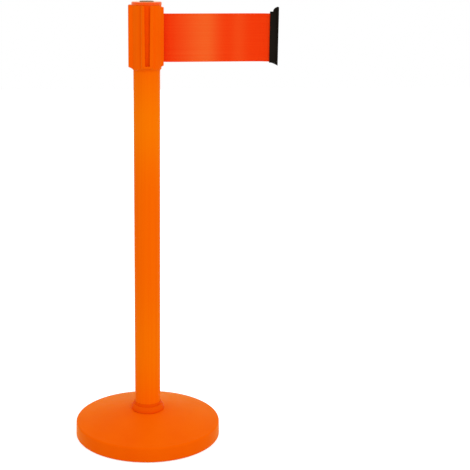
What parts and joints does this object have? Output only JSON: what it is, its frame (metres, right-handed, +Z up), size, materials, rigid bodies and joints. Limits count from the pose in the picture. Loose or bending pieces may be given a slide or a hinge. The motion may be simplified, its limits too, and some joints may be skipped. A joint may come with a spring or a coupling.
{
  "type": "retractable belt stanchion",
  "caption": "Free-standing barrier post: weighted round base, plastic tube, and a head cassette with a retractable belt, an end clip and slots that receive other belts.",
  "frame": {"origin": "centre of the underside of the base, on the floor", "axes": "+Z up along the tube, +X the way the belt is drawn out, -Y towards the front receiver"},
  "size_m": [0.4356, 0.3212, 0.9586],
  "materials": {
    "orange_moulding": "satin injection moulding",
    "orange_tube": "smooth extruded plastic, semi-gloss",
    "webbing": "woven polyester webbing with a satin sheen",
    "black_plastic": "satin moulding",
    "inlay_grey": "plain matt disc",
    "inner_plastic": "natural nylon",
    "ballast": "cast concrete",
    "sole_rubber": "matt",
    "zinc_steel": "zinc plated",
    "spring_steel": "blued strip"
  },
  "bodies": {
    "stand": {"base_cover": "orange_moulding", "base_weight": "ballast", "base_sole": "sole_rubber", "base_bolt": "zinc_steel", "base_washer": "zinc_steel", "base_nut": "zinc_steel", "foot_plug": "inner_plastic", "post_collar": "orange_moulding", "post_tube": "orange_tube", "top_plug": "inner_plastic", "head_housing": "orange_moulding", "head_screw_1": "zinc_steel", "head_screw_2": "zinc_steel", "head_screw_3": "zinc_steel", "axle": "zinc_steel", "head_cap": "orange_moulding", "cap_inlay": "inlay_grey"},
    "spool": {"spool": "inner_plastic", "lower_bush": "black_plastic", "upper_bush": "black_plastic", "spring_cup": "inner_plastic", "spring_lid": "zinc_steel", "power_spring": "spring_steel", "belt_roll": "webbing"},
    "belt_end": {"belt": "webbing", "belt_clip": "black_plastic", "clip_rod": "zinc_steel"}
  },
  "joints": [
    {"name": "belt_pull", "type": "slide", "parent": "stand", "child": "belt_end", "axis": [1, 0, 0], "range_m": [-0.225, 2.775], "deforming": ["belt"]},
    {"name": "spool_turn", "type": "hinge", "parent": "stand", "child": "spool", "pos_m": [0, 0, 0.883], "axis": [0, 0, 1], "range_deg": [-9820, 800], "deforming": ["power_spring"]}
  ],
  "couplings": [
    {"joint": "spool_turn", "follows": "belt_pull", "rad_per_m": -61.7}
  ]
}
